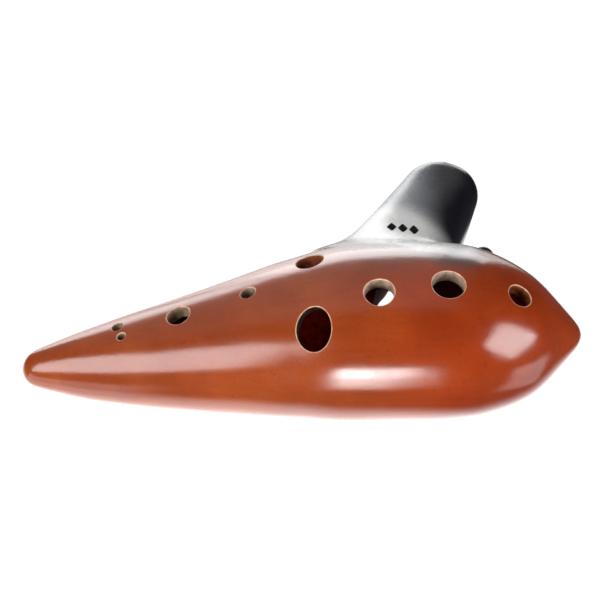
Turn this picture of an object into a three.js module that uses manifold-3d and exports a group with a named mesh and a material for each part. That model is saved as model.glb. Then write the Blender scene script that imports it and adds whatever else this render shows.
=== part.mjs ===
// Transverse ocarina in fired clay: a hollow sweet-potato body in two pressed shells, with a mouthpiece
// in a roof and a floor around the windway, a labium, the luting coil inside the seam and a strap lug.
// Millimetres. +X runs from the tail to the nose, +Y towards the mouthpiece, +Z to the finger holes.

import * as THREE from "three";
import { mergeVertices } from "three/addons/utils/BufferGeometryUtils.js";
import Module from "manifold-3d";

const wasm = await Module();
wasm.setup();

// Clay thickness, and the clearance that cut pieces keep to each other.
const WALL = 4.6;
const GAP = 0.3;

// Body. Both ends are round caps; "sweep" is the angle from the tip to where the cap meets the flank.
const TAIL_CAP = { centre: -79.8, radius: 6.2, sweep: 70 };
const NOSE_CAP = { centre: 79.4, radius: 5.8, sweep: 42 };
// Half width of the body (along Y) at places along X.
const HALF_WIDTH = [
  [-76.4, 7.8], [-67.2, 10.8], [-53.6, 14.4], [-30.8, 19.7], [-3.5, 25.9], [14.7, 29.0], [29.9, 29.35],
  [42, 29.1], [51.2, 28.05], [60.3, 25.0], [69.4, 19.8], [73.9, 15.7], [78.5, 10.3],
];
// The section is an oval whose height falls behind its width as the body gets fatter.
const FLATTENING = 0.0052;
// The middle of the section: [x, y, z]. The tail droops, so belly and tail lie on one line.
const CENTRE_LINE = [
  [-86, -1.4, -15.6], [-67.2, -2.5, -12.3], [-53.6, -3.0, -9.7], [-30.8, -2.5, -6.1], [-3.5, -1.2, -2.0],
  [14.7, -0.4, -0.3], [29.9, 0, 0], [51.2, 0, -0.2], [60.3, 0, -1.0], [69.4, 0, -1.9], [78.5, 0, -2.5],
  [85.2, 0, -2.1],
];
const BODY_SIDES = 36;
const FLANK_STATIONS = 26;
// The belly is rubbed flat at this height, and the ocarina lies on that sole.
const SOLE_Z = -23.67;

// Finger holes by the finger that covers them: place along X, angle around the section (0 front,
// 90 top, 180 back, 270 belly) and diameter. A "length" makes the hole oval around the body.
const FINGER_HOLES = [
  { x: -55.8, angle: 98.5, diameter: 3.9 },
  { x: -54.4, angle: 79.8, diameter: 3.0 },
  { x: -37.1, angle: 90.2, diameter: 7.7 },
  { x: -16.1, angle: 93.8, diameter: 5.1 },
  { x: 2.4, angle: 112.8, diameter: 8.9 },
  { x: 3.6, angle: 54.5, diameter: 11.0, length: 14.0 },
  { x: 23.0, angle: 75.7, diameter: 9.5 },
  { x: 43.6, angle: 81.3, diameter: 10.4 },
  { x: 65.2, angle: 82.0, diameter: 8.0 },
];
const THUMB_HOLES = [
  { x: 56, angle: 236, diameter: 8.6 },
  { x: -14, angle: 238, diameter: 8.2 },
];

// Voicing. The windway leaves the mouthpiece at FLOOR_LIP and blows across the window at the labium.
const FLOOR_LIP = new THREE.Vector3(30.7, 28.6, -12);
const MOUTH_TURN = THREE.MathUtils.degToRad(27.8); // from +Y towards +X, seen from above
const WINDWAY_TILT = THREE.MathUtils.degToRad(26.5); // how steeply the breath goes down
const WINDOW = { halfWidth: 4.3, cutUp: 6.4, slotEnd: 15.3, inward: 9, outward: 9 };
const WINDWAY = { length: 52, lipHeight: 1.3, mouthHeight: 2.2, mouthHalfWidth: 6.2 };
const LABIUM = { edge: -0.5, edgeThickness: 0.45, ramp: 0.4, relief: 0.7 };

// Mouthpiece, measured along its axis from the floor lip: a flat beak that narrows to a round tip.
const BEAK_ROOT = -12;
const BEAK_OFFSET = -0.7; // the beak's middle, sideways from the middle of the windway
const BEAK_HALF_WIDTH = 17.3;
const BEAK_TAPER = 0.165;
const BEAK_PLAN_CAP = { start: 31.2, length: 8.7 };
const BEAK_LIP_CAP = { start: 35.2, length: 4.7 };
const BEAK_UPPER = [[-12, 12.4], [-2, 11.2], [8, 11.1], [20, 11.4], [35.2, 11.9], [41, 13]];
const BEAK_LOWER = [[-12, -10], [-6, -13.4], [-1, -15.1], [8, -11.7], [20, -5.7], [35.2, 2.2], [41, 5]];
const BEAK_SQUARENESS = 2.5;
const BEAK_SIDES = 32;

const COIL_RADIUS = 1.5;
const LUG = { x: 56, angle: 164, rise: 0.7, radius: 3.2, hole: 1.1, thickness: 3 };

const CLAY = { red: "#9a4423", dark: "#7c3219", inside: "#8f6b55", smoke: "#26262b" };

// ---- curves -------------------------------------------------------------------------------------

// A smooth curve through [x, value] points that never overshoots them. Gives [value, slope] at x.
function curveThrough(points) {
  const last = points.length - 1;
  const chord = points.slice(1).map(([x, v], i) => (v - points[i][1]) / (x - points[i][0]));
  const slopes = points.map((_, i) => {
    if (i === 0) return chord[0];
    if (i === last) return chord[last - 1];
    const product = chord[i - 1] * chord[i];
    return product <= 0 ? 0 : (2 * product) / (chord[i - 1] + chord[i]);
  });
  return (x) => {
    const held = THREE.MathUtils.clamp(x, points[0][0], points[last][0]);
    let i = 0;
    while (i < last - 1 && held > points[i + 1][0]) i += 1;
    const step = points[i + 1][0] - points[i][0];
    const t = (held - points[i][0]) / step;
    const rise = points[i + 1][1] - points[i][1];
    const [m0, m1] = [slopes[i] * step, slopes[i + 1] * step];
    const cubic = m0 + m1 - 2 * rise;
    const square = 3 * rise - 2 * m0 - m1;
    const value = points[i][1] + t * (m0 + t * (square + t * cubic));
    return [value, (m0 + t * (2 * square + t * 3 * cubic)) / step];
  };
}

function capPoint(cap, side, degrees) {
  const angle = THREE.MathUtils.degToRad(degrees);
  const along = side * Math.cos(angle);
  const across = Math.sin(angle);
  return { x: cap.centre + cap.radius * along, width: cap.radius * across, along, across };
}

const tailJoin = capPoint(TAIL_CAP, -1, TAIL_CAP.sweep);
const noseJoin = capPoint(NOSE_CAP, 1, NOSE_CAP.sweep);
const widthAt = curveThrough([[tailJoin.x, tailJoin.width], ...HALF_WIDTH, [noseJoin.x, noseJoin.width]]);
const centreYAt = curveThrough(CENTRE_LINE.map(([x, y]) => [x, y]));
const centreZAt = curveThrough(CENTRE_LINE.map(([x, , z]) => [x, z]));
const heightFor = (width) => width * (1 - FLATTENING * width);

// ---- solids -------------------------------------------------------------------------------------

function solidFrom(geometry) {
  const bare = new THREE.BufferGeometry();
  bare.setAttribute("position", geometry.getAttribute("position"));
  if (geometry.index) bare.setIndex(geometry.index);
  const merged = mergeVertices(bare, 1e-4);
  return new wasm.Manifold(new wasm.Mesh({
    numProp: 3,
    vertProperties: new Float32Array(merged.getAttribute("position").array),
    triVerts: new Uint32Array(merged.index.array),
  }));
}

function geometryFrom(solid) {
  const mesh = solid.getMesh();
  const geometry = new THREE.BufferGeometry();
  geometry.setAttribute("position", new THREE.BufferAttribute(new Float32Array(mesh.vertProperties), 3));
  geometry.setIndex(new THREE.BufferAttribute(new Uint32Array(mesh.triVerts), 1));
  geometry.computeVertexNormals();
  return geometry;
}

// A closed skin over rings of equal length, with a point at each end.
function loft(rings, startPoint, endPoint) {
  const sides = rings[0].length;
  const points = [startPoint, ...rings.flat(), endPoint];
  const index = [];
  const at = (ring, side) => 1 + ring * sides + (side % sides);
  for (let side = 0; side < sides; side += 1) {
    index.push(0, at(0, side), at(0, side + 1));
    for (let ring = 0; ring < rings.length - 1; ring += 1) {
      index.push(at(ring, side), at(ring + 1, side), at(ring, side + 1));
      index.push(at(ring + 1, side), at(ring + 1, side + 1), at(ring, side + 1));
    }
    index.push(points.length - 1, at(rings.length - 1, side + 1), at(rings.length - 1, side));
  }
  const geometry = new THREE.BufferGeometry().setFromPoints(points);
  geometry.setIndex(index);
  return solidFrom(geometry);
}

// ---- body ---------------------------------------------------------------------------------------

function flankStation(x) {
  const [width, slope] = widthAt(x);
  const scale = 1 / Math.hypot(1, slope);
  return { x, width, along: -slope * scale, across: scale };
}

function bodyStations() {
  const capSteps = [0.25, 0.5, 0.75];
  const stations = capSteps.map((part) => capPoint(TAIL_CAP, -1, part * TAIL_CAP.sweep));
  for (let i = 0; i <= FLANK_STATIONS; i += 1) {
    const part = 0.5 - 0.5 * Math.cos((Math.PI * i) / FLANK_STATIONS);
    stations.push(flankStation(THREE.MathUtils.lerp(tailJoin.x, noseJoin.x, part)));
  }
  capSteps.reverse().forEach((part) => stations.push(capPoint(NOSE_CAP, 1, part * NOSE_CAP.sweep)));
  return stations;
}

// A point on the body's skin, "offset" outside it.
function skinPoint(station, angle, offset = 0) {
  const width = station.width + station.across * offset;
  const height = heightFor(station.width) + station.across * offset;
  return new THREE.Vector3(
    station.x + station.along * offset,
    centreYAt(station.x)[0] - width * Math.cos(angle),
    centreZAt(station.x)[0] + height * Math.sin(angle),
  );
}

function bodySolid(offset) {
  const rings = bodyStations().map((station) =>
    Array.from({ length: BODY_SIDES }, (_, i) => skinPoint(station, (2 * Math.PI * i) / BODY_SIDES, offset)));
  const tip = (cap, side) => skinPoint(capPoint(cap, side, 0), 0, offset);
  return loft(rings, tip(TAIL_CAP, -1), tip(NOSE_CAP, 1));
}

function skinNormal(x, angle) {
  const step = 0.2;
  const along = skinPoint(flankStation(x + step), angle).sub(skinPoint(flankStation(x - step), angle));
  const around = skinPoint(flankStation(x), angle + 0.01).sub(skinPoint(flankStation(x), angle - 0.01));
  return along.cross(around).normalize();
}

// A straight hole through the wall, square to the skin.
function holeCutter({ x, angle, diameter, length = diameter }) {
  const radians = THREE.MathUtils.degToRad(angle);
  const centre = skinPoint(flankStation(x), radians);
  const normal = skinNormal(x, radians);
  const along = new THREE.Vector3(1, 0, 0);
  along.addScaledVector(normal, -normal.x).normalize();
  const around = new THREE.Vector3().crossVectors(normal, along);
  const geometry = new THREE.CylinderGeometry(0.5, 0.5, 4 * WALL, diameter < 6 ? 16 : 28);
  geometry.rotateX(Math.PI / 2);
  geometry.scale(diameter, length, 1);
  geometry.applyMatrix4(new THREE.Matrix4().makeBasis(along, around, normal));
  geometry.translate(centre.x, centre.y, centre.z);
  return solidFrom(geometry);
}

// Everything on one side of the parting surface, which follows the centre line.
function partingBlock(side) {
  const reach = 95;
  const far = 90;
  const outline = [];
  for (let x = -reach; x <= reach; x += 5) {
    outline.push(new THREE.Vector2(x, centreZAt(x)[0] + (side * GAP) / 2));
  }
  outline.push(new THREE.Vector2(reach, side * far), new THREE.Vector2(-reach, side * far));
  const settings = { depth: 2 * far, bevelEnabled: false };
  const geometry = new THREE.ExtrudeGeometry(new THREE.Shape(outline), settings);
  geometry.rotateX(Math.PI / 2);
  geometry.translate(0, far, 0);
  return solidFrom(geometry);
}

// ---- voicing ------------------------------------------------------------------------------------

const breath = new THREE.Vector3(
  -Math.sin(MOUTH_TURN) * Math.cos(WINDWAY_TILT),
  -Math.cos(MOUTH_TURN) * Math.cos(WINDWAY_TILT),
  -Math.sin(WINDWAY_TILT),
);
const across = new THREE.Vector3(Math.cos(MOUTH_TURN), -Math.sin(MOUTH_TURN), 0);
const outward = new THREE.Vector3().crossVectors(across, breath);

// A bar across the windway. The outline lists [distance along the breath, distance outward] corners,
// and the half width may differ between the outline's corners.
function voicingBar(outline, halfWidths) {
  const corner = (side) => outline.map(([along, out], i) =>
    FLOOR_LIP.clone().addScaledVector(breath, along).addScaledVector(outward, out)
      .addScaledVector(across, side * halfWidths[i]));
  const points = [...corner(-1), ...corner(1)];
  const count = outline.length;
  const index = [];
  for (let i = 1; i < count - 1; i += 1) {
    index.push(0, i + 1, i, count, count + i, count + i + 1);
  }
  for (let i = 0; i < count; i += 1) {
    const next = (i + 1) % count;
    index.push(i, next, count + i, next, count + next, count + i);
  }
  const geometry = new THREE.BufferGeometry().setFromPoints(points);
  geometry.setIndex(index);
  return solidFrom(geometry);
}

function slab(alongRange, outRange, halfWidth) {
  const [a0, a1] = alongRange;
  const [n0, n1] = outRange;
  return voicingBar([[a0, n0], [a1, n0], [a1, n1], [a0, n1]], Array(4).fill(halfWidth));
}

function windowCutter() {
  return slab([0, WINDOW.slotEnd], [-WINDOW.inward, WINDOW.outward], WINDOW.halfWidth);
}

function windwayCutter() {
  const outline = [[-WINDWAY.length, -WINDWAY.mouthHeight], [0.5, -WINDWAY.lipHeight], [0.5, GAP],
    [-WINDWAY.length, GAP]];
  const narrow = WINDOW.halfWidth;
  return voicingBar(outline, [WINDWAY.mouthHalfWidth, narrow, narrow, WINDWAY.mouthHalfWidth]);
}

function labium(wall) {
  const start = WINDOW.cutUp;
  const end = WINDOW.slotEnd - GAP;
  const reach = end - start + 1;
  const wide = WINDOW.halfWidth + 1;
  const inner = LABIUM.edge - LABIUM.edgeThickness;
  const ramp = voicingBar([[start - 1, LABIUM.edge], [start, LABIUM.edge],
    [start + reach, LABIUM.edge + LABIUM.ramp * reach], [start + reach, 12], [start - 1, 12]],
  Array(5).fill(wide));
  const relief = voicingBar([[start - 1, -14], [start + reach, -14],
    [start + reach, inner - LABIUM.relief * reach], [start, inner], [start - 1, inner]],
  Array(5).fill(wide));
  const block = slab([start, end], [-WINDOW.inward, WINDOW.outward], WINDOW.halfWidth - GAP);
  return wall.intersect(block).subtract(ramp).subtract(relief);
}

// ---- mouthpiece ---------------------------------------------------------------------------------

const upperAt = curveThrough(BEAK_UPPER);
const lowerAt = curveThrough(BEAK_LOWER);

function roundedEnd(cap, along) {
  const part = Math.max(0, (along - cap.start) / cap.length);
  return Math.sqrt(Math.max(0, 1 - part * part));
}

function superCircle(angle, exponent) {
  const round = (value) => Math.sign(value) * Math.abs(value) ** (2 / exponent);
  return [round(Math.cos(angle)), round(Math.sin(angle))];
}

function beakPoint(along, side, z) {
  return new THREE.Vector3(
    FLOOR_LIP.x + Math.sin(MOUTH_TURN) * along + across.x * (side + BEAK_OFFSET),
    FLOOR_LIP.y + Math.cos(MOUTH_TURN) * along + across.y * (side + BEAK_OFFSET),
    z,
  );
}

function beakRing(along) {
  const halfWidth = (BEAK_HALF_WIDTH - BEAK_TAPER * along) * roundedEnd(BEAK_PLAN_CAP, along);
  const [upper, lower] = [upperAt(along)[0], lowerAt(along)[0]];
  const middle = (upper + lower) / 2;
  const halfHeight = ((upper - lower) / 2) * roundedEnd(BEAK_LIP_CAP, along);
  return Array.from({ length: BEAK_SIDES }, (_, i) => {
    const [c, s] = superCircle((2 * Math.PI * i) / BEAK_SIDES, BEAK_SQUARENESS);
    return beakPoint(along, halfWidth * c, middle + halfHeight * s);
  });
}

function beakSolid() {
  const tip = BEAK_LIP_CAP.start + BEAK_LIP_CAP.length;
  const stations = [];
  for (let along = BEAK_ROOT; along < BEAK_PLAN_CAP.start; along += 3.5) stations.push(along);
  for (let turn = 0; turn < 85; turn += 12) {
    stations.push(BEAK_PLAN_CAP.start + BEAK_PLAN_CAP.length * Math.sin(THREE.MathUtils.degToRad(turn)));
  }
  const middle = (along) => (upperAt(along)[0] + lowerAt(along)[0]) / 2;
  return loft(stations.map(beakRing), beakPoint(BEAK_ROOT, 0, 0), beakPoint(tip, 0, middle(tip)));
}

// ---- seam coil and strap lug --------------------------------------------------------------------

// The coil of clay pressed into the seam from inside: one closed loop along the parting line.
function seamCoil() {
  const inset = -(WALL + 2 * GAP + COIL_RADIUS);
  const [start, end] = [-64, 69];
  const steps = 14;
  const side = (angle) => Array.from({ length: steps + 1 }, (_, i) =>
    skinPoint(flankStation(THREE.MathUtils.lerp(start, end, i / steps)), angle, inset));
  const path = new THREE.CatmullRomCurve3([...side(0), ...side(Math.PI).reverse()], true);
  return solidFrom(new THREE.TubeGeometry(path, 72, COIL_RADIUS, 6, true));
}

function strapLug(body) {
  const radians = THREE.MathUtils.degToRad(LUG.angle);
  const normal = skinNormal(LUG.x, radians);
  const centre = skinPoint(flankStation(LUG.x), radians, LUG.rise);
  const shape = new THREE.Shape().absarc(0, 0, LUG.radius, 0, 2 * Math.PI);
  shape.holes.push(new THREE.Path().absarc(0, 0, LUG.hole, 0, 2 * Math.PI, true));
  const settings = { depth: LUG.thickness, bevelEnabled: false, curveSegments: 20 };
  const geometry = new THREE.ExtrudeGeometry(shape, settings);
  geometry.translate(0, 0, -LUG.thickness / 2);
  const along = new THREE.Vector3(1, 0, 0).addScaledVector(normal, -normal.x).normalize();
  const flat = new THREE.Vector3().crossVectors(along, normal);
  geometry.applyMatrix4(new THREE.Matrix4().makeBasis(along, normal, flat));
  geometry.translate(centre.x, centre.y, centre.z);
  return solidFrom(geometry).subtract(body);
}

// ---- assembly -----------------------------------------------------------------------------------

function soleCutter() {
  const deep = 20;
  const geometry = new THREE.BoxGeometry(240, 160, deep);
  geometry.translate(0, 0, SOLE_Z - deep / 2);
  return solidFrom(geometry);
}

function buildPieces() {
  const wall = bodySolid(0).subtract(bodySolid(-WALL));
  const outside = bodySolid(GAP);
  const window = windowCutter();
  const fingerHoles = FINGER_HOLES.map(holeCutter);
  const thumbHoles = THUMB_HOLES.map(holeCutter);
  const upper = fingerHoles.reduce((piece, hole) => piece.subtract(hole), wall.intersect(partingBlock(1)));
  const lower = thumbHoles.reduce((piece, hole) => piece.subtract(hole), wall.intersect(partingBlock(-1)));
  const beak = beakSolid().subtract(outside).subtract(window).subtract(windwayCutter());
  const everywhere = 70;
  const above = slab([-everywhere, everywhere], [-everywhere, -GAP / 2], everywhere);
  const below = slab([-everywhere, everywhere], [GAP / 2, everywhere], everywhere);
  return [
    ["upper_shell", upper, CLAY.red, 0.38],
    ["lower_shell", lower.subtract(window).subtract(soleCutter()), CLAY.dark, 0.42],
    ["mouthpiece_roof", beak.intersect(above), CLAY.smoke, 0.45],
    ["mouthpiece_floor", beak.intersect(below), CLAY.smoke, 0.5],
    ["labium", labium(wall), CLAY.inside, 0.7],
    ["seam_coil", seamCoil(), CLAY.inside, 0.85],
    ["strap_lug", strapLug(outside), CLAY.smoke, 0.5],
  ];
}

const ocarina = new THREE.Group();
for (const [name, solid, color, roughness] of buildPieces()) {
  const mesh = new THREE.Mesh(
    geometryFrom(solid),
    new THREE.MeshStandardMaterial({ color, roughness, metalness: 0 }),
  );
  mesh.name = name;
  ocarina.add(mesh);
}

// The origin goes to the middle of the footprint, on the surface that the sole rests on.
const extent = new THREE.Box3().setFromObject(ocarina);
const middle = extent.getCenter(new THREE.Vector3());
ocarina.position.set(-middle.x, -middle.y, -extent.min.z);

export default ocarina;
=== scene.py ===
import bpy
import numpy as np
from mathutils import Matrix, Vector


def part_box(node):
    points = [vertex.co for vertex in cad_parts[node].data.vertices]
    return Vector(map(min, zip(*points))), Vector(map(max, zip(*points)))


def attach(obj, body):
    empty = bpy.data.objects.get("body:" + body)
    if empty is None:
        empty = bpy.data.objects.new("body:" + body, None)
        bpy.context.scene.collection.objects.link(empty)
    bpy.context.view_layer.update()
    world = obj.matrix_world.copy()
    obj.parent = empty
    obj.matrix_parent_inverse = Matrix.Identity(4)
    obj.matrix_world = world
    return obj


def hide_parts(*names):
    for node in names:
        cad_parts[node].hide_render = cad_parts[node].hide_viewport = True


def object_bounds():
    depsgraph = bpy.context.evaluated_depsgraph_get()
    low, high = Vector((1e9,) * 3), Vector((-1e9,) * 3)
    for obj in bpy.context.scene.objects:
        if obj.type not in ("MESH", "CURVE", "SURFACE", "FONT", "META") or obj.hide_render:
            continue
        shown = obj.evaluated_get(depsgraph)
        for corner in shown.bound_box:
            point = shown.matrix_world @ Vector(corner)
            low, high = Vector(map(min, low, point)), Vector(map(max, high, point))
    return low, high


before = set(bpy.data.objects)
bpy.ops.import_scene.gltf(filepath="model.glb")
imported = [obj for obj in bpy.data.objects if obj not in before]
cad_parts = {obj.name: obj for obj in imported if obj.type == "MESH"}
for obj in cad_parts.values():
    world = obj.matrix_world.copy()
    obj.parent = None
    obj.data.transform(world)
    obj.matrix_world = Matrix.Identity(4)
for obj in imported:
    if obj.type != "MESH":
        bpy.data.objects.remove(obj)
cad_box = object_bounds()

# Transverse ocarina. Shapes are worked out in millimetres in the maker's own frame, and moved into the row
# frame at the end. X runs along the body from tail to nose, +Y towards the mouthpiece, and Z = 0 is the
# middle of the widest section. The driving sizes are the CAD part's, apart from a slightly higher beak top
# and a rounder lug. The marks on the beak are made only here.

MM = 0.001
WALL = 4.6

# Body. Both ends are round caps; "sweep" is the angle from the tip to where the cap meets the flank.
TAIL_CAP = {"centre": -79.8, "radius": 6.2, "sweep": 70.0}
NOSE_CAP = {"centre": 79.4, "radius": 5.8, "sweep": 42.0}
# (x, half width along Y)
HALF_WIDTH = [
    (-76.4, 7.8), (-67.2, 10.8), (-53.6, 14.4), (-30.8, 19.7), (-3.5, 25.9), (14.7, 29.0), (29.9, 29.35),
    (42, 29.1), (51.2, 28.05), (60.3, 25.0), (69.4, 19.8), (73.9, 15.7), (78.5, 10.3),
]
FLATTENING = 0.0052  # how the section's height falls behind its width as the body gets fatter
# The middle of the section: (x, y, z)
CENTRE_LINE = [
    (-86, -1.4, -15.6), (-67.2, -2.5, -12.3), (-53.6, -3.0, -9.7), (-30.8, -2.5, -6.1),
    (-3.5, -1.2, -2.0), (14.7, -0.4, -0.3), (29.9, 0, 0), (51.2, 0, -0.2), (60.3, 0, -1.0),
    (69.4, 0, -1.9), (78.5, 0, -2.5), (85.2, 0, -2.1),
]
SOLE_Z = -23.67

# From the maker's frame to the row frame, found from the upper shell's nose tip and front.
NOSE_TIP_X, FRONT_REACH = 85.2, 29.35
low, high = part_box("upper_shell")
SHIFT = Vector((high[0] / MM - NOSE_TIP_X, low[1] / MM + FRONT_REACH, -SOLE_Z))

# x, angle around the section (0 front, 90 top, 180 back, 270 belly), diameter, length around the body
FINGER_HOLES = {
    "right_little": (-55.8, 98.5, 3.9, 3.9),
    "right_little_second": (-54.4, 79.8, 3.0, 3.0),
    "right_ring": (-37.1, 90.2, 7.7, 7.7),
    "right_middle": (-16.1, 93.8, 5.1, 5.1),
    "right_index": (2.4, 112.8, 8.9, 8.9),
    "left_index": (3.6, 54.5, 11.0, 14.0),
    "left_middle": (23.0, 75.7, 9.5, 9.5),
    "left_ring": (43.6, 81.3, 10.4, 10.4),
    "left_little": (65.2, 82.0, 8.0, 8.0),
}
THUMB_HOLES = {
    "left_thumb": (56.0, 236.0, 8.6, 8.6),
    "right_thumb": (-14.0, 238.0, 8.2, 8.2),
}
RIM = 0.36  # how wide the hole's rounded, bare rim is

# Voicing. The windway ends at FLOOR_LIP and blows across the window at the labium.
FLOOR_LIP = np.array([30.7, 28.6, -12.0])
MOUTH_TURN = np.radians(27.8)  # from +Y towards +X, seen from above
WINDWAY_TILT = np.radians(26.5)
WINDOW = {"half_width": 4.3, "cut_up": 6.4, "slot_end": 15.3, "reach": 9.0}
WINDWAY = {"length": 52.0, "lip_height": 1.3, "mouth_height": 2.2, "mouth_half_width": 6.2}
LABIUM = {"edge": -0.5, "thickness": 0.45, "ramp": 0.4, "relief": 0.7}

# Mouthpiece, measured along its axis from the floor lip: a flat beak that narrows to a round tip.
BEAK_OFFSET = -0.7
BEAK_HALF_WIDTH = 17.3
BEAK_TAPER = 0.165
BEAK_PLAN_CAP = (31.2, 8.7)
BEAK_LIP_CAP = (35.2, 4.7)
BEAK_UPPER = [(-12, 12.8), (-2, 12.7), (6, 12.1), (14, 11.6), (24, 11.4), (35.2, 11.7), (41, 12.7)]
BEAK_LOWER = [(-12, -10), (-6, -13.4), (-1, -15.1), (8, -11.7), (20, -5.7), (35.2, 2.2), (41, 5)]
BEAK_SQUARENESS = 2.5

MARKS = [(2.3, -4.4), (3.4, -1.1), (4.5, 2.2)]  # plain lozenges, (along, across) the mouthpiece
LUG = {"x": 56.0, "angle": 164.0, "rise": 0.7, "ring": 2.1, "bar": 1.05, "half_thickness": 1.35}

# Material slots on every clay solid, in this order, so that a cut keeps the finish of what cut it.
GLAZED, RIM_CLAY, WALL_CLAY, CHAMBER, PAINTED_SHADE_WALL, MARK_INK_AND_SHADE = range(6)
# Bores whose walls take a darker colour: painted shade inside these holes. The left index hole shares the
# marks' dark ink colour.
BORE_SHADE = {"right_index": PAINTED_SHADE_WALL, "left_little": PAINTED_SHADE_WALL, "left_index": MARK_INK_AND_SHADE}


# ---- curves -------------------------------------------------------------------------------------------

def curve_through(points):
    """A smooth curve through (x, value) points that never overshoots them."""
    x, v = np.array(points, float).T
    step, chord = np.diff(x), np.diff(v) / np.diff(x)
    slope = np.empty_like(v)
    slope[0], slope[-1] = chord[0], chord[-1]
    product = chord[:-1] * chord[1:]
    total = chord[:-1] + chord[1:]
    slope[1:-1] = np.where(product > 0, 2 * product / np.where(total == 0, 1, total), 0)

    def value(at):
        at = np.clip(at, x[0], x[-1])
        i = np.clip(np.searchsorted(x, at, "right") - 1, 0, len(step) - 1)
        t, rise = (at - x[i]) / step[i], v[i + 1] - v[i]
        m0, m1 = slope[i] * step[i], slope[i + 1] * step[i]
        return v[i] + t * (m0 + t * ((3 * rise - 2 * m0 - m1) + t * (m0 + m1 - 2 * rise)))
    return value


def smoothed(values, sigma):
    """Gaussian smoothing of evenly spaced values, mirrored through both end points."""
    reach = int(4 * sigma)
    kernel = np.exp(-0.5 * (np.arange(-reach, reach + 1) / sigma) ** 2)
    front = 2 * values[0] - values[reach:0:-1]
    back = 2 * values[-1] - values[-2:-reach - 2:-1]
    return np.convolve(np.concatenate([front, values, back]), kernel / kernel.sum(), "valid")


def body_profile():
    """The body's outline from tail tip to nose tip as (x, half width), evenly spaced along itself."""
    blur = 1.6  # millimetres along the outline

    def cap(c, side, degrees):
        a = np.radians(degrees)
        return c["centre"] + side * c["radius"] * np.cos(a), c["radius"] * np.sin(a)
    tail_x, tail_w = cap(TAIL_CAP, -1, TAIL_CAP["sweep"])
    nose_x, nose_w = cap(NOSE_CAP, 1, NOSE_CAP["sweep"])
    flank = np.linspace(tail_x, nose_x, 1200)[1:-1]
    width = curve_through([(tail_x, tail_w), *HALF_WIDTH, (nose_x, nose_w)])(flank)
    tail = cap(TAIL_CAP, -1, np.linspace(0, TAIL_CAP["sweep"], 60))
    nose = cap(NOSE_CAP, 1, np.linspace(NOSE_CAP["sweep"], 0, 60))
    x = np.concatenate([tail[0], flank, nose[0]])
    w = np.concatenate([tail[1], width, nose[1]])
    run = np.concatenate([[0], np.cumsum(np.hypot(np.diff(x), np.diff(w)))])
    even = np.linspace(0, run[-1], 900)
    spacing = even[1]
    x = smoothed(np.interp(even, run, x), blur / spacing)
    w = smoothed(np.interp(even, run, w), blur / spacing)
    return x, w


PROFILE_X, PROFILE_W = body_profile()
LINE_X = np.linspace(CENTRE_LINE[0][0], CENTRE_LINE[-1][0], 700)
LINE_Y = smoothed(curve_through([(x, y) for x, y, _ in CENTRE_LINE])(LINE_X), 22)
LINE_Z = smoothed(curve_through([(x, z) for x, _, z in CENTRE_LINE])(LINE_X), 22)


def centre_y(x):
    return np.interp(x, LINE_X, LINE_Y)


def centre_z(x):
    return np.interp(x, LINE_X, LINE_Z)


def half_width(x):
    return np.interp(x, PROFILE_X, PROFILE_W)


def half_height(width):
    """Half the section's height, which falls behind its half width as the body gets fatter."""
    return width * (1 - FLATTENING * width)


def smooth_min(a, b, k):
    """The smaller of a and b, eased over a distance k where they meet."""
    h = np.maximum(k - np.abs(a - b), 0) / k
    return np.minimum(a, b) - h ** 3 * k / 6


# ---- body skin ----------------------------------------------------------------------------------------

UNEVEN = 0.0012  # as a share of the radius


def hand_made(x, angle, depth):
    """Shallow unevenness from burnishing by hand, as a share of the radius."""
    wave = np.sin(0.11 * x + 2.1 * np.sin(angle) + 0.4)
    wave = wave + 0.7 * np.sin(0.23 * x - 3 * angle + 1.9) + 0.5 * np.sin(0.31 * x + 5 * angle)
    return depth * wave


def body_point(x, width, angle, offset=0.0, depth=UNEVEN):
    """A point on the body's skin: x and half width along the profile, angle around the section."""
    w = np.maximum(width + offset, 0)
    h = np.maximum(half_height(width) + offset, 0)
    scale = 1 + hand_made(x, angle, depth)
    down = -np.minimum(h * np.sin(angle), -1e-3)
    floor = (centre_z(x) - SOLE_Z) / down if offset == 0 else np.full_like(down, 1e3)
    scale = smooth_min(scale, np.where(np.sin(angle) < -0.05, floor, 1e3), 0.03)
    y = centre_y(x) - w * scale * np.cos(angle)
    z = centre_z(x) + h * scale * np.sin(angle)
    return np.stack([np.broadcast_to(x, y.shape), y, z], -1)


def body_distance(p):
    """Signed distance to the body's skin, negative inside, good near the skin."""
    def level(q):
        x = q[..., 0]
        w = np.maximum(half_width(x), 0.05)
        across = (q[..., 1] - centre_y(x)) / w
        up = (q[..., 2] - centre_z(x)) / half_height(w)
        swell = 1 + hand_made(x, np.arctan2(up, -across), UNEVEN)
        return np.sqrt(across ** 2 + up ** 2 + 1e-9) / swell
    return distance_from(level, p)


def gradient(function, p, step=0.05):
    """How a function of points changes along X, Y and Z."""
    parts = []
    for axis in np.eye(3):
        parts.append((function(p + step * axis) - function(p - step * axis)) / (2 * step))
    return np.stack(parts, -1)


def distance_from(level, p):
    """Signed distance to the surface where level is 1, good near it."""
    slope = np.linalg.norm(gradient(level, p), axis=-1)
    return (level(p) - 1) / np.maximum(slope, 1e-6)


def unit(v):
    return v / np.maximum(np.linalg.norm(v, axis=-1, keepdims=True), 1e-9)


def skin_at(x, degrees):
    """The skin's point and outward normal at a place along X and an angle around."""
    a = np.radians(degrees)

    def at(x_, a_):
        return body_point(np.array(x_), half_width(x_), np.array(a_))
    along = at(x + 0.2, a) - at(x - 0.2, a)
    around = at(x, a + 0.01) - at(x, a - 0.01)
    return at(x, a), unit(np.cross(along, around))


# ---- meshes -------------------------------------------------------------------------------------------

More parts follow.
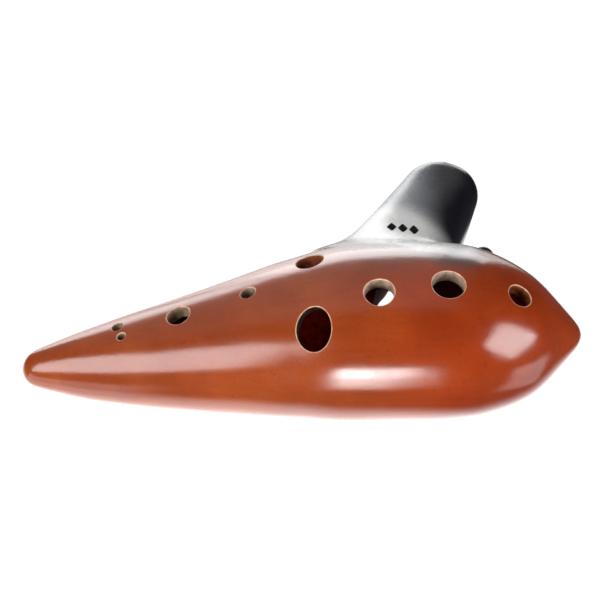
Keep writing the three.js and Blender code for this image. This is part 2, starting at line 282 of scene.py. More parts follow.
def make_mesh(name, points, faces, slot=GLAZED, slots=None):
    mesh = bpy.data.meshes.new(name)
    mesh.from_pydata(np.asarray(points, float), [], faces)
    for material in CLAY:
        mesh.materials.append(material)
    mesh.polygons.foreach_set("material_index", np.full(len(faces), slot) if slots is None else slots)
    mesh.polygons.foreach_set("use_smooth", np.ones(len(faces), bool))
    mesh.update()
    obj = bpy.data.objects.new(name, mesh)
    bpy.context.scene.collection.objects.link(obj)
    return obj


def ring_faces(rings, sides):
    """Quads between rings of points, facing out when the rings turn clockwise seen along the loft."""
    r, s = np.meshgrid(np.arange(rings - 1), np.arange(sides), indexing="ij")
    a = r * sides + s
    b = r * sides + (s + 1) % sides
    return np.stack([a, a + sides, b + sides, b], -1).reshape(-1, 4)


def loft(name, rings, start_point, end_point, slot=GLAZED, ring_slots=None):
    """A closed skin over rings of equal length. ring_slots gives a material to each band of quads."""
    rings = np.asarray(rings)
    count, sides = rings.shape[:2]
    points = np.concatenate([rings.reshape(-1, 3), [start_point, end_point]])
    quads = ring_faces(count, sides)
    first, last = count * sides, (count - 1) * sides
    s = np.arange(sides)
    fan_a = np.stack([np.full(sides, first), s, (s + 1) % sides], -1)
    fan_b = np.stack([np.full(sides, first + 1), last + (s + 1) % sides, last + s], -1)
    faces = quads.tolist() + fan_a.tolist() + fan_b.tolist()
    slots = None
    if ring_slots is not None:
        bands = np.repeat(np.asarray(ring_slots), sides)
        slots = np.concatenate([bands, np.full(sides, ring_slots[0]), np.full(sides, ring_slots[-1])])
    return make_mesh(name, points, faces, slot, slots)


def tube_loop(name, points, slot=GLAZED):
    """A closed tube that runs round in a loop. points holds rings of points, one ring after another."""
    rings, sides = points.shape[:2]
    r, c = np.meshgrid(np.arange(rings), np.arange(sides), indexing="ij")
    a, b = r * sides + c, r * sides + (c + 1) % sides
    total = rings * sides
    faces = np.stack([a, b, (b + sides) % total, (a + sides) % total], -1).reshape(-1, 4)
    return make_mesh(name, points.reshape(-1, 3), faces.tolist(), slot)


def bar(name, outline, half_widths, slot=WALL_CLAY):
    """A bar across the windway: corners are (along the breath, outward), with a half width at each."""
    outline = np.asarray(outline, float)
    side = np.asarray(half_widths, float)[:, None]
    flat = FLOOR_LIP + outline[:, :1] * BREATH + outline[:, 1:] * OUTWARD
    points = np.concatenate([flat - side * ACROSS, flat + side * ACROSS])
    n = len(outline)
    faces = [list(range(n))[::-1], list(range(n, 2 * n))]
    faces += [[i, (i + 1) % n, n + (i + 1) % n, n + i] for i in range(n)]
    return make_mesh(name, points, faces, slot)


def slab(name, along, out, half):
    """A plain block, set square to the windway."""
    corners = [(along[0], out[0]), (along[1], out[0]), (along[1], out[1]), (along[0], out[1])]
    return bar(name, corners, [half] * 4, CHAMBER)


def cut(obj, cutter, operation="DIFFERENCE", keep=False):
    """Combine obj with the cutter, which is removed afterwards unless it is kept."""
    step = obj.modifiers.new("cut", "BOOLEAN")
    step.operation = operation
    step.solver = "MANIFOLD"
    step.object = cutter
    apply_modifiers(obj)
    if not keep:
        bpy.data.objects.remove(cutter)
    return obj


def apply_modifiers(obj):
    bpy.context.view_layer.update()
    graph = bpy.context.evaluated_depsgraph_get()
    mesh = bpy.data.meshes.new_from_object(obj.evaluated_get(graph))
    obj.modifiers.clear()
    old = obj.data
    obj.data = mesh
    bpy.data.meshes.remove(old)


def copy_of(obj, name):
    twin = obj.copy()
    twin.data = obj.data.copy()
    twin.name = name
    bpy.context.scene.collection.objects.link(twin)
    return twin


# ---- body ---------------------------------------------------------------------------------------------

BREATH = -np.array([np.sin(MOUTH_TURN) * np.cos(WINDWAY_TILT), np.cos(MOUTH_TURN) * np.cos(WINDWAY_TILT),
                    np.sin(WINDWAY_TILT)])
ACROSS = np.array([np.cos(MOUTH_TURN), -np.sin(MOUTH_TURN), 0.0])
OUTWARD = np.cross(ACROSS, BREATH)


def body_skin(name, stations, sides, offset=0.0, depth=UNEVEN, slot=GLAZED):
    """The body's skin as a closed mesh, or a skin inside it where the offset is negative."""
    run = np.linspace(0, 1, stations + 2)[1:-1] * (len(PROFILE_X) - 1)
    index = np.arange(len(PROFILE_X))
    x, w = np.interp(run, index, PROFILE_X), np.interp(run, index, PROFILE_W)
    keep = w + offset > 0.6
    x, w = x[keep], w[keep]
    angle = np.arange(sides) * 2 * np.pi / sides
    rings = body_point(x[:, None], w[:, None], angle[None, :], offset, depth)
    tips = [[x[i] + side * 0.15, centre_y(x[i]), centre_z(x[i])] for i, side in ((0, -1), (-1, 1))]
    return loft(name, rings, tips[0], tips[1], slot)


def parting_block(name, side):
    """Everything on one side of the parting surface, which follows the centre line."""
    reach, far, overlap = 95.0, 90.0, 0.004
    x = np.linspace(-reach, reach, 191)
    z = centre_z(x) - side * overlap
    edge = np.concatenate([np.stack([x, z], -1), [[reach, side * far], [-reach, side * far]]])
    n = len(edge)
    points = np.concatenate([np.insert(edge, 1, y, axis=1) for y in (-far, far)])
    ends = [list(range(n)), list(range(n, 2 * n))[::-1]]
    sides = [[i, n + i, n + (i + 1) % n, (i + 1) % n] for i in range(n)]
    faces = ends + sides
    if side < 0:
        faces = [face[::-1] for face in faces]
    return make_mesh(name, points, faces, WALL_CLAY)


def hole_cutter(name, x, degrees, diameter, length):
    """A straight hole square to the skin, with a rounded rim that follows the skin."""
    centre, normal = skin_at(x, degrees)
    along = unit(np.array([1.0, 0, 0]) - normal[0] * normal)
    around = np.cross(along, normal)
    sides = 96 if diameter > 6 else 64
    turn = np.arange(sides) * 2 * np.pi / sides
    wobble = 1 + 0.008 * np.sin(2 * turn + x) + 0.006 * np.sin(3 * turn - 2 * x)
    rim = RIM * (0.75 if diameter < 6 else 1.0)
    bore = diameter - 1.3 * rim
    bore_length = length - 1.3 * rim

    def ring(spread):
        a = (bore / 2 * wobble + spread) * np.cos(turn)
        b = (bore_length / 2 * wobble + spread) * np.sin(turn)
        return centre + a[:, None] * along + b[:, None] * around

    def onto_skin(points):
        for _ in range(4):
            slope = (body_distance(points + 0.05 * normal) - body_distance(points - 0.05 * normal)) / 0.1
            points = points - (body_distance(points) / slope)[:, None] * normal
        return points
    inner = WALL + 3.5
    rings, slots = [], []
    # Painted shade: some bores take a darker wall colour.
    wall = BORE_SHADE.get(name, WALL_CLAY)
    floor = ring(0) - inner * normal
    for level in np.linspace(0, 1, 7):
        top = onto_skin(ring(0)) - rim * normal
        rings.append(floor * (1 - level) + top * level)
        slots.append(wall)
    for lift in np.radians([22, 45, 66, 84]):
        spread = rim * (1 - np.cos(lift))
        rings.append(onto_skin(ring(spread)) - rim * (1 - np.sin(lift)) * normal)
        slots.append(RIM_CLAY)
    rings.append(onto_skin(ring(rim * 1.02)) + 0.06 * normal)
    slots.append(RIM_CLAY)
    rings.append(onto_skin(ring(rim * 1.02)) + 3.0 * normal)
    rings = np.asarray(rings)
    return loft(name, rings, rings[0].mean(0), rings[-1].mean(0), WALL_CLAY, slots)


# ---- mouthpiece ---------------------------------------------------------------------------------------

beak_upper, beak_lower = curve_through(BEAK_UPPER), curve_through(BEAK_LOWER)


def rounded_end(cap, along):
    """From 1 where a cap (start, length) begins down to 0 at its end, as a quarter of an ellipse."""
    part = np.maximum(0, (along - cap[0]) / cap[1])
    return np.sqrt(np.maximum(1 - part ** 2, 0))


def beak_half(along):
    return (BEAK_HALF_WIDTH - BEAK_TAPER * along) * rounded_end(BEAK_PLAN_CAP, along)


def beak_point(along, turn):
    """A point on the plain mouthpiece: along its axis, and around its section from the nose side."""

    def power(v):
        return np.sign(v) * np.abs(v) ** (2 / BEAK_SQUARENESS)
    upper, lower = beak_upper(along), beak_lower(along)
    side = beak_half(along) * power(np.cos(turn)) + BEAK_OFFSET
    thick = (upper - lower) / 2 * rounded_end(BEAK_LIP_CAP, along)
    z = (upper + lower) / 2 + thick * power(np.sin(turn))
    x = FLOOR_LIP[0] + np.sin(MOUTH_TURN) * along + ACROSS[0] * side
    y = FLOOR_LIP[1] + np.cos(MOUTH_TURN) * along + ACROSS[1] * side
    return np.stack([x, y, z], -1)


def beak_place(p):
    """Where a point lies along and across the mouthpiece."""
    x, y = p[..., 0] - FLOOR_LIP[0], p[..., 1] - FLOOR_LIP[1]
    along = x * np.sin(MOUTH_TURN) + y * np.cos(MOUTH_TURN)
    return along, x * ACROSS[0] + y * ACROSS[1] - BEAK_OFFSET


def beak_distance(p):
    """Signed distance to the plain mouthpiece, good near its skin."""

    def level(q):
        along, side = beak_place(q)
        upper, lower = beak_upper(along), beak_lower(along)
        w = np.maximum(beak_half(along), 0.05)
        h = np.maximum((upper - lower) / 2 * rounded_end(BEAK_LIP_CAP, along), 0.05)
        n = BEAK_SQUARENESS
        up = q[..., 2] - (upper + lower) / 2
        return (np.abs(side / w) ** n + np.abs(up / h) ** n + 1e-9) ** (1 / n)
    return distance_from(level, p)


def eased(t):
    t = np.clip(t, 0, 1)
    return t * t * (3 - 2 * t)


NEAR_HOLE = skin_at(*FINGER_HOLES["right_index"][:2])[0]


def fillet(p):
    """How wide the clay is smeared over the joint: wide at the tail side, tight at the nose side and
    underneath, and wiped clear of the finger hole beside it."""
    _, side = beak_place(p)
    nose_side = eased((side + 13) / 26)
    below = eased((2 - p[..., 2]) / 22)
    clear = eased((np.linalg.norm(p - NEAR_HOLE, axis=-1) - 5) / 12)
    return (12.5 - 7.5 * nose_side) * (1 - 0.55 * below) * (0.08 + 0.92 * clear)


def clay_distance(p):
    """Signed distance to body and mouthpiece, with the joint smeared over."""
    return smooth_min(body_distance(p), beak_distance(p), fillet(p))


def pulled(function, p, rounds=4):
    """Points moved onto the surface where the function is 0."""
    for _ in range(rounds):
        slope = gradient(function, p)
        steep = np.maximum((slope ** 2).sum(-1, keepdims=True), 1e-3)
        p = p - np.clip(function(p)[..., None] / steep, -3, 3) * slope
    return p


def walked(point, away, stride):
    """A step over the body's skin, and the way to go on from there."""
    normal = unit(gradient(body_distance, point))
    away = unit(away - (away * normal).sum(-1, keepdims=True) * normal)
    return pulled(body_distance, point + stride * away, 2), away


def round_smoothed(values):
    """Gaussian smoothing of values given evenly round a ring."""
    sigma = 4.0
    reach = int(3 * sigma)
    kernel = np.exp(-0.5 * (np.arange(-reach, reach + 1) / sigma) ** 2)
    shifted = [weight * np.roll(values, shift, axis=0) for shift, weight in enumerate(kernel, -reach)]
    return np.sum(shifted, axis=0) / kernel.sum()


def smear_reach(foot, away):
    """How far over the body the smeared clay runs, from each point of the joint."""
    stride = 0.7
    point = foot
    reach = np.zeros(len(foot))
    for step in range(1, 40):
        point, away = walked(point, away, stride)
        reach = np.where(clay_distance(point) < -0.003, step * stride, reach)
    widest = np.max([np.roll(reach, shift) for shift in range(-4, 5)], axis=0)
    return round_smoothed(widest)


def mouthpiece_skin(name):
    """The mouthpiece with a skirt that runs out onto the body and dives under its skin."""
    sides = 288
    turn = np.arange(sides) * 2 * np.pi / sides
    search = np.linspace(14, -26, 800)
    inside = body_distance(beak_point(search[:, None], turn[None, :])) < 0
    meet = search[inside.argmax(0)]
    foot = beak_point(meet, turn)

    tip_turn = np.radians(np.linspace(89.3, 4, 22))
    tip_along = BEAK_PLAN_CAP[0] + BEAK_PLAN_CAP[1] * np.sin(tip_turn)
    rings = [beak_point(np.full(sides, a), turn) for a in tip_along]
    start = BEAK_PLAN_CAP[0]
    for part in np.linspace(0, 0.985, 61):
        along = start + (meet - start) * part
        ring = beak_point(along, turn)
        near = (body_distance(ring) < 16) & (along < 26)
        rings.append(np.where(near[:, None], pulled(clay_distance, ring), ring))

    steps = 34
    away = round_smoothed(gradient(beak_distance, foot))
    stride = ((1.06 * smear_reach(foot, away) + 1.2) / steps)[:, None]
    point = foot
    for step in range(1, steps + 1):
        point, away = walked(point, away, stride)
        lift = np.interp(step / steps, [0.86, 1], [0.02, -0.07])
        rings.append(pulled(lambda p: clay_distance(p) - lift, point))
    normal = unit(gradient(body_distance, point))
    rings.append(point - 4.0 * normal)
    rings = np.asarray(rings)
    return loft(name, rings[::-1], rings[-1].mean(0) - np.array([0, 6.0, 0]), rings[0].mean(0))


def pressed_mark(name, along, side, reach=(1.5, 2.2)):
    """A lozenge pressed into the top of the mouthpiece's root, a plain ornament."""
    x = FLOOR_LIP[0] + np.sin(MOUTH_TURN) * along + ACROSS[0] * side
    y = FLOOR_LIP[1] + np.cos(MOUTH_TURN) * along + ACROSS[1] * side
    centre = pulled(clay_distance, np.array([[x, y, beak_upper(along)]]))[0]
    normal = unit(gradient(clay_distance, centre[None]))[0]
    right = unit(np.array([1.0, 0, 0]) - normal[0] * normal)
    back = np.cross(right, normal)
    corners, power = 32, 1.2
    turn = np.arange(corners) * 2 * np.pi / corners
    shape = 1 / (np.abs(np.cos(turn)) ** power + np.abs(np.sin(turn)) ** power) ** (1 / power)
    flat = (reach[0] * shape * np.cos(turn))[:, None] * right
    flat = flat + (reach[1] * shape * np.sin(turn))[:, None] * back
    rings = []
    for size, lift in ((0.5, -0.8), (0.82, -0.65), (1, -0.05), (1.1, 1.5)):
        rings.append(centre + size * flat + lift * normal)
    return loft(name, rings, rings[0].mean(0), rings[-1].mean(0), MARK_INK_AND_SHADE)


# ---- assembly -----------------------------------------------------------------------------------------

def window_slab(name):
    reach = WINDOW["reach"]
    return slab(name, (0, WINDOW["slot_end"]), (-reach, reach), WINDOW["half_width"])


def windway(name):
    narrow, wide = WINDOW["half_width"], WINDWAY["mouth_half_width"]
    mouth, past_lip, above = -WINDWAY["length"], 0.5, 0.01
    outline = [(mouth, -WINDWAY["mouth_height"]), (past_lip, -WINDWAY["lip_height"]), (past_lip, above),
               (mouth, above)]
    return bar(name, outline, [wide, narrow, narrow, wide])


def build_labium(wall):
    """A piece of the wall, cut to an edge that the breath strikes."""
    start, end = WINDOW["cut_up"], WINDOW["slot_end"]
    reach, wide = end - start + 1, WINDOW["half_width"] + 1
    edge = LABIUM["edge"]
    inner = edge - LABIUM["thickness"]
    block = slab("labium_block", (start, end + 0.004), (-9, 9), WINDOW["half_width"] + 0.004)
    ramp = bar("ramp", [(start - 1, edge), (start, edge), (start + reach, edge + LABIUM["ramp"] * reach),
                        (start + reach, 12), (start - 1, 12)], [wide] * 5)
    relief = bar("relief", [(start - 1, -14), (start + reach, -14),
                            (start + reach, inner - LABIUM["relief"] * reach), (start, inner),
                            (start - 1, inner)], [wide] * 5)
    cut(block, wall, "INTERSECT", keep=True)
    cut(block, ramp)
    cut(block, relief)
    block.name = "labium_edge"
    return block


def build_clay():
    """Every clay piece, by the name of the CAD node that it replaces."""
    outer = body_skin("outer", 330, 240)
    hollow = body_skin("hollow", 150, 112, offset=-WALL, depth=0.006, slot=CHAMBER)
    solid_body = copy_of(outer, "solid_body")
    wall = cut(outer, hollow)
    labium = build_labium(wall)
    upper = cut(copy_of(wall, "upper"), parting_block("above", 1), "INTERSECT")
    lower = cut(wall, parting_block("below", -1), "INTERSECT")
    for name, hole in FINGER_HOLES.items():
        cut(upper, hole_cutter(name, *hole))
    for name, hole in THUMB_HOLES.items():
        cut(lower, hole_cutter(name, *hole))
    cut(lower, window_slab("window"))
    beak = cut(mouthpiece_skin("beak"), solid_body, keep=True)
    cut(beak, window_slab("beak_window"))
    cut(beak, windway("windway"))
    for place in MARKS:
        cut(beak, pressed_mark("mark", *place))
    far = 70
    roof = cut(copy_of(beak, "roof"), slab("over", (-far, far), (-far, 0.003), far), "INTERSECT")
    floor = cut(beak, slab("under", (-far, far), (-0.003, far), far), "INTERSECT")
    lug = lug_shape("lug", solid_body)
    return {"upper_shell": upper, "lower_shell": lower, "mouthpiece_roof": roof,
            "mouthpiece_floor": floor, "labium": labium, "seam_coil": coil_shape("coil"), "strap_lug": lug}


def lug_shape(name, body):
    """A pierced loop of clay, half sunk in the skin, with rounded sides."""
    centre, normal = skin_at(LUG["x"], LUG["angle"])
    centre = centre + LUG["rise"] * normal
    along = unit(np.array([1.0, 0, 0]) - normal[0] * normal)
    flat = np.cross(along, normal)
    rings, sides = 72, 28
    turn = np.arange(rings) * 2 * np.pi / rings
    around = np.arange(sides) * 2 * np.pi / sides
    radial = np.cos(turn)[:, None] * along + np.sin(turn)[:, None] * normal
    foot = np.clip(-np.sin(turn) * 1.4 + 0.5, 0, 1)
    thick = LUG["bar"] * (1 + 0.25 * foot) * (1 + 0.03 * np.sin(3 * turn + 1))
    points = []
    for j in around:
        out = (LUG["ring"] + thick * np.cos(j))[:, None] * radial
        side = (LUG["half_thickness"] * (1 + 0.2 * foot) * np.sin(j))[:, None] * flat
        points.append(centre + out + side)
    return cut(tube_loop(name, np.stack(points, 1)), body)


def coil_shape(name):
    """The coil inside the seam, close to the wall, with the dents of the fingers that pressed it."""
    inset = -(WALL + 2.1)
    stations = 15
    x = np.linspace(-64, 69, stations)

    def side(angle):
        w = half_width(x)
        slope = half_width(x + 0.5) - half_width(x - 0.5)
        scale = 1 / np.hypot(1, slope)
        moved_x, moved_w = x - slope * scale * inset, w + (scale - 1) * inset
        return body_point(moved_x, moved_w, np.full(stations, angle), inset, 0.0)
    loop = np.concatenate([side(0.0), side(np.pi)[::-1]])
    count = len(loop)
    steps, sides = 420, 14
    t = np.arange(steps) / steps * count
    i, f = t.astype(int), (t % 1)[:, None]
    p0, p1, p2, p3 = (loop[(i + k) % count] for k in (-1, 0, 1, 2))
    square = 2 * p0 - 5 * p1 + 4 * p2 - p3
    cubic = 3 * (p1 - p2) + p3 - p0
    path = 0.5 * (2 * p1 + f * (p2 - p0 + f * (square + f * cubic)))
    ahead = unit(np.roll(path, -1, 0) - np.roll(path, 1, 0))
    up = np.array([0, 0, 1.0])
    out = unit(np.cross(ahead, up))
    rise = np.cross(out, ahead)
    dent = 1 + 0.10 * np.sin(np.arange(steps) * 0.42) + 0.06 * np.sin(np.arange(steps) * 0.17 + 1)
    around = np.arange(sides) * 2 * np.pi / sides
    points = []
    for j in around:
        sideways = (1.42 * np.cos(j) / dent)[:, None] * out
        points.append(path + sideways + (1.35 * dent * np.sin(j))[:, None] * rise)
    return tube_loop(name, np.stack(points, 1), CHAMBER)


# ---- finishes -----------------------------------------------------------------------------------------

class Nodes:
    """A short way to write the node tree of a material or of the world."""

    def __init__(self, name, owner=None):
        self.owner = owner or bpy.data.materials.new(name)
        self.owner.use_nodes = True
        self.tree = self.owner.node_tree
        self.shader = self.tree.nodes.get("Principled BSDF")
        self.place = self.add("ShaderNodeTexCoord").outputs["Object"]

    def add(self, kind, inputs=None, **settings):
        node = self.tree.nodes.new(kind)
        for key, value in settings.items():
            setattr(node, key, value)
        for key, value in (inputs or {}).items():
            self.put(node.inputs[key], value)
        return node

    def put(self, socket, value):
        if isinstance(value, bpy.types.NodeSocket):
            self.tree.links.new(value, socket)
        else:
            socket.default_value = value

    def math(self, operation, a, b=0.0, c=0.0):
        return self.add("ShaderNodeMath", {0: a, 1: b, 2: c}, operation=operation).outputs[0]

    def vector(self, operation, a, b=(0, 0, 0)):
        node = self.add("ShaderNodeVectorMath", {0: a, 1: b}, operation=operation)
        return node.outputs["Value" if operation in ("DOT_PRODUCT", "LENGTH") else 0]

    def span(self, value, start, end, to_start=0.0, to_end=1.0):
        """An eased step from to_start to to_end, while value goes from start to end."""
        inputs = {0: value, 1: start, 2: end, 3: to_start, 4: to_end}
        return self.add("ShaderNodeMapRange", inputs, interpolation_type="SMOOTHSTEP").outputs[0]

    def noise(self, size, detail=2.0, stretch=(1, 1, 1), roughness=0.5, shift=0.0):
        """Noise whose lumps are about size metres across, from 0 to 1."""
        moved = self.vector("MULTIPLY", self.place, tuple(s / size for s in stretch))
        moved = self.vector("ADD", moved, (shift, shift * 1.7, -shift))
        node = self.add("ShaderNodeTexNoise", {"Vector": moved, "Scale": 1.0, "Detail": detail,
                                               "Roughness": roughness})
        return node.outputs["Fac"]

    def mix(self, amount, a, b):
        node = self.add("ShaderNodeMix", data_type="RGBA")
        for key, value in ((0, amount), (6, a), (7, b)):
            self.put(node.inputs[key], value)
        return node.outputs[2]

    def bump(self, height, strength, distance):
        inputs = {"Height": height, "Strength": strength, "Distance": distance}
        return self.add("ShaderNodeBump", inputs).outputs["Normal"]


def in_row(x, y, z):
    """A point of the maker's frame, in the row frame's metres."""
    return ((x + SHIFT.x) * MM, (y + SHIFT.y) * MM, (z + SHIFT.z) * MM)


def smoke_amount(n):
    """Three masks from 0 to 1: how smoked the clay is, the tail side of the mouthpiece where a painted
    reflection lightens the black, and how near the root, where that painted reflection is paler still.
    """
    lip = in_row(*FLOOR_LIP)
    axis = (float(np.sin(MOUTH_TURN)), float(np.cos(MOUTH_TURN)), 0.0)
    along = n.vector("DOT_PRODUCT", n.vector("SUBTRACT", n.place, lip), axis)
    x = n.add("ShaderNodeSeparateXYZ", {0: n.place}).outputs["X"]
    # Painted reflection: the tail side of the mouthpiece is painted pale, and its nose side stays black.
    at_root = n.math("MULTIPLY_ADD", n.span(along, 0.014, 0.006), -0.0055, x)
    sideways = n.math("MULTIPLY_ADD", n.span(along, 0.006, -0.006), -0.022, at_root)
    painted_sheen_side = n.span(n.math("MULTIPLY_ADD", n.noise(0.010, 3, shift=4.0), 0.003, sideways), 0.0475, 0.0325)
    # Painted reflection, paler still near the mouthpiece's root.
    root = n.span(along, 0.018, 0.008)
    wander = n.math("MULTIPLY_ADD", n.noise(0.016, 2), 0.010, -0.005)
    edge = n.math("MULTIPLY_ADD", painted_sheen_side, 0.009, n.math("ADD", along, wander))
    side = n.vector("DOT_PRODUCT", n.vector("SUBTRACT", n.place, lip), tuple(ACROSS.tolist()))
    nose_side = n.span(n.math("ADD", side, wander), 0.038, 0.020)
    beak = n.math("MULTIPLY", n.span(edge, -0.014, 0.003), nose_side)
    near = n.vector("MULTIPLY", n.vector("SUBTRACT", n.place, in_row(34, 30, 10)), (0.72, 1.0, 1.0))
    reach = n.math("ADD", n.vector("LENGTH", near), wander)
    halo = n.span(reach, 0.042, 0.010)
    return n.math("MAXIMUM", beak, n.math("MULTIPLY", halo, 0.55)), painted_sheen_side, root


def burnished_clay():
    """Glossy red clay, cloudy, brushed and specked, that turns black with smoke on the mouthpiece, with a
    painted pale reflection on the mouthpiece's tail side and root.
    """
    n = Nodes("burnished_clay")
    cloud = n.noise(0.022, 4, shift=3.0)
    drift = n.noise(0.055, 2, shift=9.0)
    brush = n.noise(0.0017, 3, stretch=(0.12, 1, 1), shift=7.0)
    speck = n.noise(0.0009, 3, shift=5.0)
    x = n.add("ShaderNodeSeparateXYZ", {0: n.place}).outputs["X"]
    orange = n.mix(n.span(cloud, 0.32, 0.68), (0.200, 0.0330, 0.0072, 1), (0.265, 0.0500, 0.0105, 1))
    red = n.mix(n.span(cloud, 0.32, 0.68), (0.205, 0.0215, 0.0032, 1), (0.275, 0.0330, 0.0048, 1))
    colour = n.mix(n.span(x, 0.005, 0.045), orange, red)
    colour = n.mix(n.span(drift, 0.35, 0.7, 0.0, 0.5), colour, (0.250, 0.040, 0.0070, 1))
    colour = n.mix(n.span(brush, 0.35, 0.75, 0.0, 0.14), colour, (0.120, 0.0140, 0.0020, 1))
    colour = n.mix(n.span(speck, 0.55, 0.75, 0.0, 0.30), colour, (0.090, 0.012, 0.003, 1))
    smoke, painted_sheen_side, root = smoke_amount(n)
    brown = n.mix(n.span(smoke, 0.0, 0.55), colour, (0.085, 0.032, 0.022, 1))
    # Painted reflection: a pale tone replaces the black on the mouthpiece's tail side, paler still near
    # the root.
    painted_reflection_grey = n.mix(root, (0.160, 0.170, 0.187, 1), (0.50, 0.495, 0.49, 1))
    soot_and_painted_sheen = n.mix(painted_sheen_side, (0.0045, 0.0045, 0.0075, 1), painted_reflection_grey)
    dressed = n.mix(n.span(smoke, 0.5, 1.0), brown, soot_and_painted_sheen)
    n.put(n.shader.inputs["Base Color"], dressed)
    grain = n.noise(0.00055, 2, shift=1.0)
    rub = n.noise(0.0012, 2, stretch=(0.12, 1, 1), shift=2.0)
    height = n.math("MULTIPLY_ADD", rub, 0.6, grain)
    clean = n.span(n.noise(0.006, 3), 0.3, 0.7, 0.155, 0.205)
    n.put(n.shader.inputs["Roughness"], n.math("MULTIPLY_ADD", n.span(smoke, 0.5, 1.0), 0.09, clean))
    n.put(n.shader.inputs["Normal"], n.bump(height, 0.5, 0.00004))
    n.shader.inputs["IOR"].default_value = 1.55
    return n.owner


def bare_clay(name, light, dark, lumps=0.0006, relief=0.00012):
    """Matt, gritty clay, where a cut or a rim leaves it bare."""
    n = Nodes(name)
    patch = n.noise(0.0022, 3)
    grit = n.noise(lumps, 3, roughness=0.65)
    colour = n.mix(n.span(patch, 0.3, 0.7), light, dark)
    colour = n.mix(n.span(grit, 0.58, 0.75, 0.0, 0.45), colour, tuple(0.35 * c for c in dark[:3]) + (1,))
    smoke, _, _ = smoke_amount(n)
    colour = n.mix(n.span(smoke, 0.55, 1.0, 0.0, 0.9), colour, (0.02, 0.019, 0.019, 1))
    n.put(n.shader.inputs["Base Color"], colour)
    n.put(n.shader.inputs["Normal"], n.bump(grit, 0.6, relief))
    n.shader.inputs["Roughness"].default_value = 0.9
    n.shader.inputs["Specular IOR Level"].default_value = 0.12
    return n.owner


# ---- light and camera ---------------------------------------------------------------------------------

MIDDLE = Vector((0, 0, 0.02))  # what the soft boxes face, in the row frame


def panel(name, place, width, height, radiance, roll):
    """A soft box that lights the clay and shows in its gloss, but not to the camera."""
    light = bpy.data.lights.new(name, "AREA")
    light.shape = "RECTANGLE"
    light.size, light.size_y = width, height
    light.energy = radiance * np.pi * width * height
    obj = bpy.data.objects.new(name, light)
    obj.location = place
    obj.rotation_euler = (place - MIDDLE).to_track_quat("Z", "Y").to_euler()
    obj.rotation_euler.rotate_axis("Z", np.radians(roll))
    obj.visible_camera = False
    bpy.context.scene.collection.objects.link(obj)


def around(azimuth, elevation, distance):
    """A place seen from the ocarina at an azimuth (0 in front, + to the right) and elevation."""
    a, e = np.radians([azimuth, elevation])
    way = Vector((np.sin(a) * np.cos(e), -np.cos(a) * np.cos(e), np.sin(e)))
    return MIDDLE + way * distance


# (azimuth, elevation, distance), width, height, radiance, roll
SOFT_BOXES = {
    "right_box": ((67, 23.5, 0.7), 0.37, 0.37, 9.2, 14),
    "left_box": ((-57, 26.5, 0.7), 0.58, 0.42, 7.4, 16),
    "front_strip": ((-3, 6.5, 0.7), 0.23, 0.19, 15.0, 0),
    "front_core": ((-1.5, 7.0, 0.69), 0.13, 0.17, 14.0, 0),
    "back_box": ((-175, 10.5, 0.7), 0.34, 0.28, 6.0, 0),
    "back_left": ((-151, 9, 0.7), 0.22, 0.24, 4.8, 0),
    "back_right": ((161, 8, 0.7), 0.16, 0.22, 4.4, 0),
}


def studio():
    """Soft boxes all round, and a dim sweep of light behind, while the camera sees plain white."""
    for name, (place, *size_and_light) in SOFT_BOXES.items():
        panel(name, around(*place), *size_and_light)
    n = Nodes("studio", bpy.data.worlds.new("studio"))
    bpy.context.scene.world = n.owner
    split = n.add("ShaderNodeSeparateXYZ", {0: n.add("ShaderNodeTexCoord").outputs["Generated"]})
    x, y = split.outputs["X"], split.outputs["Y"]
    middle = n.math("MULTIPLY", n.span(x, -0.85, -0.4), n.span(x, 0.42, 0.02))
    behind = n.math("MULTIPLY", middle, n.span(y, -0.1, 0.1))
    sweep = n.math("MULTIPLY_ADD", behind, 0.72, 0.04)
    ceiling = n.add("ShaderNodeBackground", {"Strength": sweep}).outputs[0]
    white = n.add("ShaderNodeBackground", {"Strength": 1.0}).outputs[0]
    seen = n.add("ShaderNodeLightPath").outputs["Is Camera Ray"]
    shown = n.add("ShaderNodeMixShader", {0: seen, 1: ceiling, 2: white}).outputs[0]
    n.put(n.tree.nodes["World Output"].inputs["Surface"], shown)


def pale_floor():
    """A white table that glows close round the ocarina, and is shiny enough to mirror the soft boxes."""
    half = 3.0
    mesh = bpy.data.meshes.new("floor")
    corners = [(-half, -half), (half, -half), (half, half), (-half, half)]
    mesh.from_pydata([(x, y, cad_box[0][2]) for x, y in corners], [], [(0, 1, 2, 3)])
    obj = bpy.data.objects.new("floor", mesh)
    bpy.context.scene.collection.objects.link(obj)
    n = Nodes("pale_floor")
    from_middle = n.vector("SUBTRACT", n.place, (0.000, 0.001, cad_box[0][2]))
    reach = n.vector("LENGTH", n.vector("DIVIDE", from_middle, (0.098, 0.054, 1)))
    n.shader.inputs["Base Color"].default_value = (0.06, 0.06, 0.06, 1)
    n.shader.inputs["Roughness"].default_value = 0.05
    n.shader.inputs["IOR"].default_value = 2.5
    n.shader.inputs["Emission Color"].default_value = (1, 1, 1, 1)
    under = n.vector("LENGTH", n.vector("DIVIDE", from_middle, (0.068, 0.020, 1)))
    beside = n.span(reach, 0.93, 1.20, 2.6, 0.03)
    glow = n.math("MULTIPLY", beside, n.span(under, 0.7, 1.15, 0.2, 1.0))
    n.put(n.shader.inputs["Emission Strength"], glow)
    white = n.add("ShaderNodeEmission", {"Strength": 1.05}).outputs[0]
    seen = n.add("ShaderNodeLightPath").outputs["Is Camera Ray"]
    shown = n.add("ShaderNodeMixShader", {0: seen, 1: n.shader.outputs[0], 2: white}).outputs[0]
    n.put(n.tree.nodes["Material Output"].inputs["Surface"], shown)
    mesh.materials.append(n.owner)


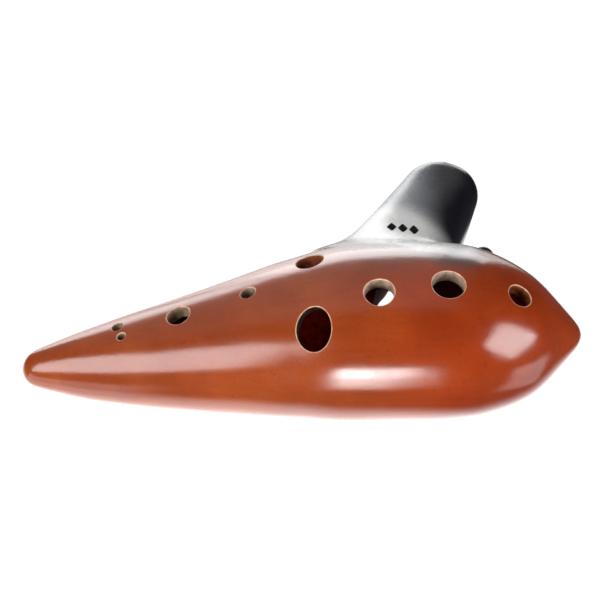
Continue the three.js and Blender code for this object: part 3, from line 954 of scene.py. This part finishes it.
def studio_camera():
    """45 degrees above the front, far enough back for a calm perspective."""
    distance, seen = 800.0, 182.2  # seen is the width that fills the picture at the aim
    aim = np.array([-0.45, 6.55, 6.55])
    tilt = np.radians(45)
    data = bpy.data.cameras.new("camera")
    data.sensor_width = 36
    data.lens = 36 * distance / seen
    data.clip_start, data.clip_end = 0.01, 20
    obj = bpy.data.objects.new("camera", data)
    obj.location = in_row(*(aim + distance * np.array([0, -np.cos(tilt), np.sin(tilt)])))
    obj.rotation_euler = (np.pi / 2 - tilt, 0, 0)
    bpy.context.scene.collection.objects.link(obj)
    bpy.context.scene.camera = obj


# ---- scene --------------------------------------------------------------------------------------------

CLAY = [
    burnished_clay(),
    bare_clay("bare_rim", (0.66, 0.42, 0.29, 1), (0.42, 0.22, 0.13, 1), lumps=0.0004, relief=0.00005),
    bare_clay("bored_wall", (0.36, 0.27, 0.20, 1), (0.19, 0.12, 0.08, 1)),
    bare_clay("chamber", (0.72, 0.050, 0.018, 1), (0.46, 0.028, 0.010, 1), lumps=0.0012, relief=0.0003),
    # Painted shade: a darker reddish wall for some bores.
    bare_clay("painted_shade_wall", (0.27, 0.075, 0.030, 1), (0.13, 0.032, 0.014, 1)),
    # Dark ink in the pressed marks, and painted shade on the wall of the left index hole.
    bare_clay("mark_ink_and_painted_shade", (0.035, 0.014, 0.010, 1), (0.012, 0.006, 0.005, 1)),
]


SKIN_TOLERANCE = 0.08  # how far from the ideal skin a point may lie and still be shaded as skin


def column(items, attribute, width=1, kind=float):
    """One attribute of many mesh elements, as an array."""
    values = np.empty(len(items) * width, kind)
    items.foreach_get(attribute, values)
    return values.reshape(-1, width) if width > 1 else values


def even_normals(obj, function):
    """Shade the outer skin by the shape's own normals, so that no cut disturbs the gloss."""
    mesh = obj.data
    points = column(mesh.vertices, "co", 3)
    level = function(points)
    ideal = unit(gradient(function, points, 0.08))
    vertex = column(mesh.loops, "vertex_index", kind=int)
    own = column(mesh.corner_normals, "vector", 3)
    corners = column(mesh.polygons, "loop_total", kind=int)
    face_normal = np.repeat(column(mesh.polygons, "normal", 3), corners, axis=0)
    slot = np.repeat(column(mesh.polygons, "material_index", kind=int), corners)
    wanted = ideal[vertex]
    outward = (wanted * face_normal).sum(-1) > 0.0
    skin = (np.abs(level[vertex]) < SKIN_TOLERANCE) & outward & (slot == GLAZED)
    mesh.normals_split_custom_set(np.where(skin[:, None], wanted, own).tolist())


def finish_piece(obj, node):
    """Even out the shading, move the piece into the row frame and hand it over."""
    mesh = obj.data
    shape = clay_distance if node.startswith("mouthpiece") else body_distance
    mesh.set_sharp_from_angle(angle=np.radians(38))
    if node not in ("seam_coil", "strap_lug"):
        even_normals(obj, shape)
    mesh.transform(Matrix.Scale(MM, 4) @ Matrix.Translation(SHIFT))
    obj.name = "clay_" + node
    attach(obj, "root")
    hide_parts(node)


studio_camera()
studio()
pale_floor()
for node, piece in build_clay().items():
    finish_piece(piece, node)
bpy.context.scene.view_settings.view_transform = "Standard"
